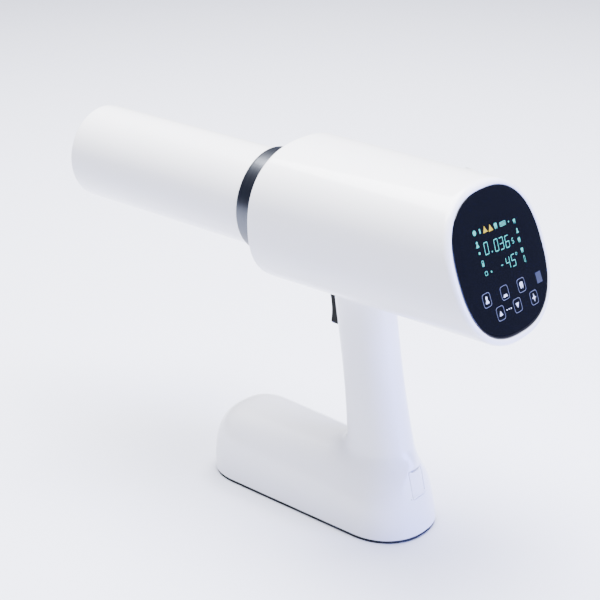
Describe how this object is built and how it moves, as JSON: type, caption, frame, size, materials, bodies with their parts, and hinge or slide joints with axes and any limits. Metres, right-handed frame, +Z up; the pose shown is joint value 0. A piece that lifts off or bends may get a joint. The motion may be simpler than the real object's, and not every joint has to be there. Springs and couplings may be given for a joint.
{
  "type": "intraoral x-ray unit",
  "caption": "Hand-held dental X-ray unit: round spacer cone, rounded head with a glass control panel, trigger handle and a long foot it stands on.",
  "frame": {"origin": "centre of the foot's underside, on the table", "axes": "+X to the rear, towards the control panel (the beam leaves along -X); +Z up; the unit's left side is -Y"},
  "size_m": [0.3373, 0.1006, 0.2376],
  "materials": {
    "housing_white": "glossy white ABS",
    "cone_white": "glossy white ABS",
    "dark_chrome": "polished dark chrome",
    "liner_metal": "dull sheet metal",
    "black_glass": "polished, printed black on its back",
    "circuit_board": "solder mask",
    "component_black": "moulded epoxy",
    "dark_plastic": "moulded ABS",
    "trigger_black": "moulded, satin",
    "steel": "zinc plated",
    "brass": "turned",
    "aluminium": "milled",
    "lead": "dull lead sheet",
    "copper": "machined copper",
    "rubber": "matt",
    "resin": "cast epoxy resin",
    "tube_glass": "clear",
    "ivory_plastic": "moulded nylon",
    "ceramic_blue": "dipped coating",
    "ferrite": "sintered ferrite",
    "cell_wrap": "shrink sleeve",
    "cable_orange": "cable sleeve",
    "foot_rubber": "matt"
  },
  "bodies": {
    "unit": {"left_housing": "housing_white", "right_housing": "housing_white", "housing_screws": "steel", "collar_ring": "dark_chrome", "cone_tube": "cone_white", "cone_liner": "liner_metal", "display_glass": "black_glass", "touch_board": "circuit_board", "display_module": "component_black", "panel_carrier": "dark_plastic", "carrier_screws": "steel", "board_pillars": "brass", "main_board": "circuit_board", "main_board_parts": "component_black", "buzzer": "component_black", "inverter_board": "circuit_board", "inverter_transistors": "component_black", "inverter_heatsink": "aluminium", "inverter_inductors": "copper", "tank_body": "aluminium", "tank_lining": "lead", "tank_gasket": "rubber", "tank_lid": "aluminium", "tank_screws": "steel", "oil_bellows": "rubber", "filler_plug": "brass", "lid_connector": "ivory_plastic", "beam_window": "resin", "beam_filter": "aluminium", "beam_diaphragm": "lead", "diaphragm_holder": "dark_plastic", "holder_screws": "steel", "tube_envelope": "tube_glass", "tube_anode": "copper", "tube_cathode": "steel", "tube_cradle": "ivory_plastic", "multiplier_board": "circuit_board", "multiplier_capacitors": "ceramic_blue", "transformer_core": "ferrite", "transformer_coils": "copper", "trigger_pin": "steel", "trigger_spring": "steel", "trigger_switch": "component_black", "switch_board": "circuit_board", "battery_cells": "cell_wrap", "cell_links": "steel", "battery_tray": "dark_plastic", "battery_board": "circuit_board", "charging_socket": "component_black", "wiring_harness": "cable_orange", "base_plate": "dark_plastic", "base_screws": "steel", "foot_pad": "foot_rubber"},
    "trigger": {"trigger": "trigger_black"},
    "socket_cover": {"socket_cover": "housing_white"}
  },
  "joints": [
    {"name": "trigger_pull", "type": "hinge", "parent": "unit", "child": "trigger", "pos_m": [0.02, 0, 0.1435], "axis": [0, -1, 0], "range_deg": [0, 8], "stiffness_Nm_per_rad": 0.5, "springref_deg": -3.44, "deforming": ["trigger_spring"]},
    {"name": "cover_open", "type": "hinge", "parent": "unit", "child": "socket_cover", "pos_m": [0.07546, 0, 0.02597], "axis": [0, 1, 0], "range_deg": [0, 100]}
  ]
}
